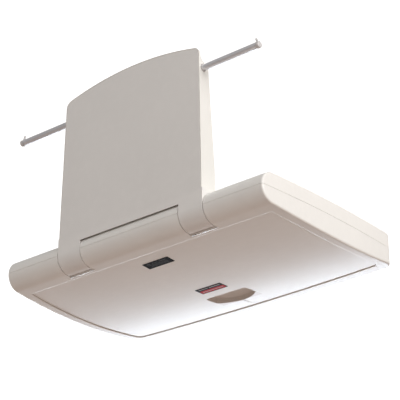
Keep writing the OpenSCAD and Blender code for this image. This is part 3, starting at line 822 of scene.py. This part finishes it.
class Finish:
    """A node material that is built up step by step on one Principled shader."""

    def __init__(self, name, base, rough, metal=0.0, coat=0.0, spec=0.5):
        self.material = bpy.data.materials.new(name)
        self.material.use_nodes = True
        self.tree = self.material.node_tree
        self.shader = self.tree.nodes["Principled BSDF"]
        self.shader.inputs["Base Color"].default_value = base
        self.shader.inputs["Roughness"].default_value = rough
        self.shader.inputs["Metallic"].default_value = metal
        self.shader.inputs["Coat Weight"].default_value = coat
        self.shader.inputs["Coat Roughness"].default_value = 0.28
        self.shader.inputs["Specular IOR Level"].default_value = spec
        self.coords = self.add("ShaderNodeTexCoord").outputs["Object"]
        self.colour = None
        self.base = base
        self.height = None

    def add(self, kind, **values):
        node = self.tree.nodes.new(kind)
        for name, value in values.items():
            setattr(node, name, value)
        return node

    def link(self, a, b):
        self.tree.links.new(a, b)

    def noise(self, scale, detail=3.0, rough=0.5, stretch=(1, 1, 1)):
        mapping = self.add("ShaderNodeMapping")
        mapping.inputs["Scale"].default_value = stretch
        self.link(self.coords, mapping.inputs["Vector"])
        node = self.add("ShaderNodeTexNoise")
        node.inputs["Scale"].default_value = scale
        node.inputs["Detail"].default_value = detail
        node.inputs["Roughness"].default_value = rough
        self.link(mapping.outputs["Vector"], node.inputs["Vector"])
        return node.outputs["Fac"]

    def cells(self, scale):
        node = self.add("ShaderNodeTexVoronoi")
        node.inputs["Scale"].default_value = scale
        self.link(self.coords, node.inputs["Vector"])
        return node.outputs["Distance"]

    def ramp(self, value, low, high, a=0.0, b=1.0):
        node = self.add("ShaderNodeMapRange")
        node.inputs["From Min"].default_value = low
        node.inputs["From Max"].default_value = high
        node.inputs["To Min"].default_value = a
        node.inputs["To Max"].default_value = b
        self.link(value, node.inputs["Value"])
        return node.outputs["Result"]

    def tint(self, value, colour):
        """Mixes a colour over what is there, where value is 1."""
        mix = self.add("ShaderNodeMix", data_type="RGBA")
        self.link(value, mix.inputs["Factor"])
        if self.colour is None:
            mix.inputs[6].default_value = self.base
        else:
            self.link(self.colour, mix.inputs[6])
        mix.inputs[7].default_value = colour
        self.colour = mix.outputs[2]
        self.link(self.colour, self.shader.inputs["Base Color"])
        return self

    def bump(self, value, depth, strength=1.0):
        """Adds relief of a depth in metres."""
        node = self.add("ShaderNodeBump")
        node.inputs["Distance"].default_value = depth
        node.inputs["Strength"].default_value = strength
        self.link(value, node.inputs["Height"])
        if self.height is not None:
            self.link(self.height, node.inputs["Normal"])
        self.height = node.outputs["Normal"]
        self.link(self.height, self.shader.inputs["Normal"])
        return self

    def gloss(self, value, low, high):
        self.link(self.ramp(value, 0.3, 0.7, low, high), self.shader.inputs["Roughness"])
        return self

    def worn_edges(self, colour, amount):
        edge = self.add("ShaderNodeNewGeometry").outputs["Pointiness"]
        return self.tint(self.ramp(edge, 0.52, 0.6, 0, amount), colour)


def moulded(name, colour, rough=0.42, grain=0.00006, coat=0.0, spread=7):
    """Moulded plastic: fine spark-eroded grain, faint flow marks and slightly polished edges."""
    base = srgb(*colour)
    finish = Finish(name, base, rough, coat=coat)
    darker = srgb(*[c - spread for c in colour])
    lighter = srgb(*[min(c + spread * 0.6, 255) for c in colour])
    finish.tint(finish.ramp(finish.noise(4.5, 4, 0.55), 0.35, 0.75, 0, 0.55), darker)
    finish.tint(finish.ramp(finish.noise(38, 2, 0.5, (1, 2.4, 1)), 0.45, 0.7, 0, 0.3), lighter)
    finish.worn_edges(lighter, 0.5)
    finish.gloss(finish.noise(60, 2, 0.5), rough - 0.01, rough + 0.02)
    finish.bump(finish.cells(900), grain, 0.5)
    finish.bump(finish.noise(2600, 2, 0.6), grain * 0.7, 0.5)
    finish.bump(finish.noise(9, 2, 0.5), 0.0004, 0.25)
    return finish


def metal(name, colour, rough, stretch=(1, 1, 1), spots=0.25, share=1.0):
    """Drawn or plated metal, with fine lines along the stretch and a faint uneven tone."""
    base = srgb(*colour)
    finish = Finish(name, base, rough, metal=share)
    uneven = finish.ramp(finish.noise(60, 4, 0.6, stretch), 0.35, 0.7, 0, spots)
    finish.tint(uneven, srgb(*[c * 0.82 for c in colour]))
    finish.gloss(finish.noise(140, 3, 0.6, stretch), rough - 0.06, rough + 0.1)
    finish.bump(finish.noise(1500, 3, 0.6, stretch), 0.00004, 0.4)
    finish.worn_edges(srgb(*[min(c * 1.15, 250) for c in colour]), 0.5)
    return finish.material


def woven(name, colour):
    """Flat nylon webbing: twill ribs across and threads along."""
    base = srgb(*colour)
    finish = Finish(name, base, 0.75)
    ribs = finish.add("ShaderNodeTexWave", wave_type="BANDS", bands_direction="DIAGONAL")
    ribs.inputs["Scale"].default_value = 260
    ribs.inputs["Distortion"].default_value = 0.6
    finish.link(finish.coords, ribs.inputs["Vector"])
    threads = finish.add("ShaderNodeTexWave", wave_type="BANDS", bands_direction="X")
    threads.inputs["Scale"].default_value = 420
    finish.link(finish.coords, threads.inputs["Vector"])
    lighter, darker = srgb(*[c + 22 for c in colour]), srgb(*[c * 0.7 for c in colour])
    finish.tint(finish.ramp(ribs.outputs["Fac"], 0.2, 0.9, 0, 0.7), lighter)
    finish.tint(finish.ramp(finish.noise(70, 3), 0.4, 0.7, 0, 0.4), darker)
    finish.bump(ribs.outputs["Fac"], 0.00025, 0.7)
    finish.bump(threads.outputs["Fac"], 0.00015, 0.5)
    finish.shader.inputs["Sheen Weight"].default_value = 0.25
    return finish.material


def paint_recess_shade(finish, x0, x1, y0, y1, z0):
    """Painted shade: a darker tone in a box about the finger recess, standing in for the shade
    that falls inside it. It also reaches the panel's face at the recess's two front corners."""
    split = finish.add("ShaderNodeSeparateXYZ")
    finish.link(finish.coords, split.inputs["Vector"])
    inside = None
    for axis, edge, kind in (
        ("X", x0, "GREATER_THAN"), ("X", x1, "LESS_THAN"), ("Y", y0, "GREATER_THAN"),
        ("Y", y1, "LESS_THAN"), ("Z", z0, "GREATER_THAN"),
    ):
        test = finish.add("ShaderNodeMath", operation=kind)
        finish.link(split.outputs[axis], test.inputs[0])
        test.inputs[1].default_value = edge * MM
        if inside is not None:
            both = finish.add("ShaderNodeMath", operation="MULTIPLY")
            finish.link(inside, both.inputs[0])
            finish.link(test.outputs[0], both.inputs[1])
            test = both
        inside = test.outputs[0]
    # Painted shade: everything inside the box about the finger recess is tinted darker.
    finish.tint(inside, srgb(225, 218, 212))
    return finish


CREAM = (243, 240, 235)
bed_plastic = moulded("bed_plastic", CREAM, 0.32, coat=0.12).material
liner_plastic = moulded("liner_plastic", CREAM, 0.4).material
# The panel's finish carries painted shade inside its finger recess.
panel_plastic = paint_recess_shade(
    moulded("panel_plastic", CREAM, 0.3, coat=0.15),
    -RECESS["w"] / 2 - 1,
    RECESS["w"] / 2 + 1,
    RECESS["back"] - RECESS["mid"] - 1 + HINGE_Y,
    RECESS["back"] + 1 + HINGE_Y,
    under(RECESS["back"]) + HINGE_Z + 3.5,
).material
cover_plastic = moulded("cover_plastic", (242, 239, 233), 0.42).material
grey_plastic = moulded("grey_plastic", (240, 237, 233), 0.4).material
cap_plastic = moulded("cap_plastic", (214, 211, 210), 0.38).material
collar_plastic = moulded("collar_plastic", (190, 185, 182), 0.5).material
tube_metal = metal("tube_metal", (227, 227, 231), 0.34, (0.05, 1, 1), 0.12, 0.45)
zinc = metal("zinc_steel", (190, 192, 194), 0.38)
painted = Finish("painted_steel", srgb(60, 62, 66), 0.5)
painted.tint(painted.ramp(painted.noise(25, 4), 0.4, 0.7, 0, 0.5), srgb(74, 76, 80))
painted.bump(painted.noise(700, 3), 0.00008, 0.5).worn_edges(srgb(120, 122, 126), 0.6)
spring_black = metal("spring_black", (52, 54, 58), 0.35, (1, 1, 0.05))
rod_chrome = metal("rod_chrome", (214, 216, 220), 0.14, (1, 1, 0.05), 0.1)
nylon = moulded("nylon", (46, 47, 50), 0.5, 0.00004, spread=4).material
rubber = Finish("rubber", srgb(34, 34, 36), 0.8)
rubber.tint(rubber.ramp(rubber.noise(80, 3), 0.4, 0.7, 0, 0.6), srgb(48, 47, 48))
rubber.bump(rubber.noise(1200, 3), 0.0001, 0.6)
webbing = woven("webbing", (40, 41, 45))
buckle_plastic = moulded("buckle_plastic", (38, 39, 42), 0.38, 0.00005, spread=4).material


def label_finish(name, base, bars, band=None):
    """A printed label: plain blocks for its lines, and no lettering."""
    finish = Finish(name, srgb(*base), 0.6, spec=0.1)
    finish.tint(finish.ramp(finish.noise(90, 3), 0.4, 0.7, 0, 0.5), srgb(*[c + 8 for c in base]))
    split = finish.add("ShaderNodeSeparateXYZ")
    finish.link(finish.coords, split.inputs["Vector"])

    def between(value, low, high):
        steps = []
        for edge, kind in ((low, "GREATER_THAN"), (high, "LESS_THAN")):
            test = finish.add("ShaderNodeMath", operation=kind)
            finish.link(value, test.inputs[0])
            test.inputs[1].default_value = edge
            steps.append(test.outputs[0])
        both = finish.add("ShaderNodeMath", operation="MULTIPLY")
        finish.link(steps[0], both.inputs[0])
        finish.link(steps[1], both.inputs[1])
        return both.outputs[0]

    def block(x0, x1, y0, y1, colour, share=1.0):
        both = finish.add("ShaderNodeMath", operation="MULTIPLY")
        finish.link(between(split.outputs["X"], x0 * MM, x1 * MM), both.inputs[0])
        finish.link(between(split.outputs["Y"], y0 * MM, y1 * MM), both.inputs[1])
        finish.tint(finish.ramp(both.outputs[0], 0, 1, 0, share), srgb(*colour))

    if band:
        block(*band)
    for bar in bars:
        block(*bar)
    finish.bump(finish.noise(1500, 2), 0.00002, 0.4)
    return finish.material


def label_rows(node, shares, colour, side=4):
    """Bars for a label's lines: each share is (from, to) across and (from, to) along."""
    low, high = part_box(node)
    x0, x1, y0, y1 = low.x / MM + side, high.x / MM - side, low.y / MM + 3, high.y / MM - 3
    w, h = x1 - x0, y1 - y0
    return [(x0 + w * a, x0 + w * b, y0 + h * c, y0 + h * d, colour, 0.8) for a, b, c, d in shares]


rating_bars = label_rows("rating_label", [
    (0.1, 0.4, 0.74, 0.88), (0.46, 0.7, 0.76, 0.86), (0.78, 0.92, 0.72, 0.9),
    (0.1, 0.92, 0.52, 0.6), (0.1, 0.8, 0.34, 0.42), (0.1, 0.88, 0.16, 0.24),
], (88, 90, 91))
label_black = label_finish("label_black", (14, 14, 15), rating_bars)
pull_low, pull_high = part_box("pull_label")
pull_band = (
    pull_low.x / MM + 3, pull_high.x / MM - 3, pull_low.y / MM + 3, pull_low.y / MM + 17,
    (212, 62, 72), 1.0,
)
pull_bars = label_rows("pull_label", [
    (0.04, 0.5, 0.76, 0.9), (0.56, 0.96, 0.78, 0.88), (0.06, 0.94, 0.16, 0.3),
], (198, 190, 190))
label_grey = label_finish("label_grey", (52, 50, 53), pull_bars, pull_band)


# --- Pieces ---


def place(piece, body, finish, slot, *stands_for):
    """Gives a piece its finish and its body, and hides the CAD nodes that it stands for. The slot
    argument is not used.
    """
    piece.data.materials.clear()
    piece.data.materials.append(finish)
    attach(piece, body)
    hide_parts(*stands_for)


SHELL_ANGLE = 32
lower = finish_mesh(make_lower_shell(), SHELL_T, degrees=SHELL_ANGLE)
place(lower, "bed", bed_plastic, "bed_plastic", "bed_shell")

liner = finish_mesh(make_liner(), SHELL_T, degrees=SHELL_ANGLE)
for node in ("strap_back", "strap_front"):
    low, high = box_mm(node)
    slot_u = high[1] - 0.8 if node == "strap_back" else low[1] + 0.8
    corners = (-WEB_W / 2 - 2, slot_u - 2, -40), (WEB_W / 2 + 2, slot_u + 2, -20)
    cut_away(liner, cuboid("slot", *corners))
smooth_by_angle(liner, SHELL_ANGLE)
liner.modifiers.new("normals", "WEIGHTED_NORMAL").keep_sharp = True
place(liner, "bed", liner_plastic, "bed_plastic", "bed_liner")

panel = finish_mesh(make_panel(), PANEL_T)
place(panel, "bed", panel_plastic, "bed_plastic", "outer_panel")

cover = finish_mesh(make_cover(), PANEL_T)
place(cover, "wall_unit", cover_plastic, "cream_plastic", "front_cover")

plate = finish_mesh(make_back_plate(), bevel=1.2)
place(plate, "wall_unit", grey_plastic, "grey_plastic", "rear_housing")

tube = finish_mesh(make_tube())
place(tube, "wall_unit", tube_metal, "tube_metal", "hook_tube")
for sign, side in ((1, "left"), (-1, "right")):
    cap = finish_mesh(make_cap(sign))
    place(cap, "wall_unit", cap_plastic, "cap_plastic", f"hook_cap_{side}")
for sign in (1, -1):
    collar = finish_mesh(make_grommet(sign))
    place(collar, "wall_unit", collar_plastic, "nylon", "tube_grommets")

# Each half of the strap lies on the well's floor, from its slot to the buckle.
web_v = FLOOR + WEB_T / 2
back_path = [
    (-136, FLOOR - 4), (-136, web_v - 0.6), (-139, web_v), (-180, web_v + 0.3),
    (-210, web_v), (-227.8, web_v + 1.9),
]
front_path = [
    (-273, web_v + 1.9), (-340, web_v + 1.9), (-368, web_v), (-400, web_v + 0.4),
    (-429, web_v), (-432, web_v - 0.6), (-432, FLOOR - 4),
]
for side, path in (("back", back_path), ("front", front_path)):
    web = finish_mesh(make_web(f"web_{side}", path), degrees=60)
    place(web, "bed", webbing, "webbing", f"strap_{side}")

for kind, finish, slot in (
    ("rating", label_black, "label_black"),
    ("pull", label_grey, "label_grey"),
):
    label = finish_mesh(make_label(f"{kind}_plate", f"{kind}_label", 0.5))
    place(label, "bed", finish, slot, f"{kind}_label")

CARRIED = {
    "wall_bracket_left": painted.material, "wall_bracket_right": painted.material,
    "hinge_bushes": nylon, "stop_buffers": rubber.material, "gas_cylinder": spring_black,
    "gas_bracket": zinc, "gas_pin": zinc, "tube_clamps": zinc, "cover_screws": zinc,
    "hinge_arms_left": painted.material, "hinge_arms_right": painted.material,
    "bracket_screws": zinc,
    "support_rail_back": zinc, "support_rail_front": zinc, "hinge_shaft_left": zinc,
    "hinge_shaft_right": zinc, "crank_arm": zinc, "stop_levers": zinc, "strap_anchors": zinc,
    "buckle_body": buckle_plastic, "buckle_tongue": buckle_plastic, "shell_screws": zinc,
    "gas_rod": rod_chrome,
}
for name, finish in CARRIED.items():
    node = nodes[name]
    node.data.materials.clear()
    node.data.materials.append(finish)
    if name.startswith("buckle"):
        weld = node.modifiers.new("weld", "WELD")
        weld.merge_threshold = 0.02 * MM
        flat = node.modifiers.new("flat", "DECIMATE")
        flat.decimate_type = "DISSOLVE"
        flat.angle_limit = math.radians(1)
        edge = node.modifiers.new("edges", "BEVEL")
        edge.width, edge.segments = 1.1 * MM, 3
        edge.limit_method, edge.angle_limit = "ANGLE", math.radians(30)


# --- Floor, backdrop, light and camera ---

FLOOR_Z, FLOOR_R, FLOOR_STEPS, DOME_R = -3.0, 30, 64, 28


def plain(name, colour, strength=0.0):
    material = bpy.data.materials.new(name)
    material.use_nodes = True
    shader = material.node_tree.nodes["Principled BSDF"]
    shader.inputs["Base Color"].default_value = (*colour, 1)
    shader.inputs["Roughness"].default_value = 0.9
    shader.inputs["Emission Color"].default_value = (1, 1, 1, 1)
    shader.inputs["Emission Strength"].default_value = strength
    return material


def stage(name, mesh, finish):
    piece = bpy.data.objects.new(name, mesh)
    piece.data.materials.append(finish)
    bpy.context.scene.collection.objects.link(piece)
    return piece


turns = np.linspace(0, 2 * math.pi, FLOOR_STEPS, endpoint=False)
floor_mesh = bpy.data.meshes.new("floor")
rim_points = [(FLOOR_R * math.cos(t), FLOOR_R * math.sin(t), FLOOR_Z) for t in turns]
floor_mesh.from_pydata(rim_points, [], [tuple(range(FLOOR_STEPS))])
stage("floor", floor_mesh, plain("floor_finish", (0.56, 0.455, 0.4)))

# The backdrop is a white dome that only the camera sees.
dome_mesh = bpy.data.meshes.new("backdrop")
work = bmesh.new()
bmesh.ops.create_uvsphere(work, u_segments=32, v_segments=16, radius=DOME_R)
work.to_mesh(dome_mesh)
work.free()
dome = stage("backdrop", dome_mesh, plain("backdrop_finish", (1, 1, 1), 1.0))
for flag in ("visible_diffuse", "visible_glossy", "visible_transmission", "visible_shadow"):
    setattr(dome, flag, False)

world = bpy.data.worlds.new("studio")
world.use_nodes = True
world.node_tree.nodes["Background"].inputs["Color"].default_value = (1.0, 0.985, 0.965, 1)
world.node_tree.nodes["Background"].inputs["Strength"].default_value = 0.3
bpy.context.scene.world = world


def soft_light(name, place_at, aim, size, power, colour=(1, 1, 1)):
    """An area light at a place in metres, turned towards aim."""
    data = bpy.data.lights.new(name, "AREA")
    data.shape, data.size, data.size_y = "RECTANGLE", size[0], size[1]
    data.energy = power
    data.color = colour
    lamp = bpy.data.objects.new(name, data)
    lamp.location = place_at
    lamp.rotation_mode = "QUATERNION"
    lamp.rotation_quaternion = (Vector(aim) - Vector(place_at)).to_track_quat("-Z", "Y")
    bpy.context.scene.collection.objects.link(lamp)
    return lamp


soft_light("key_side", (-5.5, 0.4, 1.35), (0, -0.2, -0.2), (3, 3), 238, (0.99, 0.99, 0.99))
soft_light("low_front", (2.9, -3.8, -1.0), (0, -0.35, -0.3), (3.4, 1.15), 70, (0.8, 0.9, 1))
soft_light("behind", (-1.0, 5.0, 1.5), (0, 0, 0), (3, 3), 66, (0.98, 0.99, 1))
soft_light("room_fill", (1.5, -4.5, 3.6), (0, -0.2, -0.1), (3.5, 3.5), 130)

CAMERA_AZIMUTH, CAMERA_ELEVATION, CAMERA_ROLL = 220.77, -24.92, 0.13
CAMERA_PLACE, CAMERA_LENS = (-2.5916, 2.7416, -1.8992), 155.85
azimuth, elevation = math.radians(CAMERA_AZIMUTH), math.radians(CAMERA_ELEVATION)
back = Vector((
    math.sin(azimuth) * math.cos(elevation),
    -math.cos(azimuth) * math.cos(elevation),
    math.sin(elevation),
))
camera_data = bpy.data.cameras.new("camera")
camera_data.sensor_width, camera_data.lens = 36, CAMERA_LENS
camera_data.clip_start, camera_data.clip_end = 0.05, 200
camera = bpy.data.objects.new("camera", camera_data)
camera.location = CAMERA_PLACE
camera.rotation_mode = "QUATERNION"
roll = Euler((0, 0, math.radians(CAMERA_ROLL))).to_quaternion()
camera.rotation_quaternion = (-back).to_track_quat("-Z", "Y") @ roll
bpy.context.scene.collection.objects.link(camera)
bpy.context.scene.camera = camera
bpy.context.scene.view_settings.view_transform = "Standard"
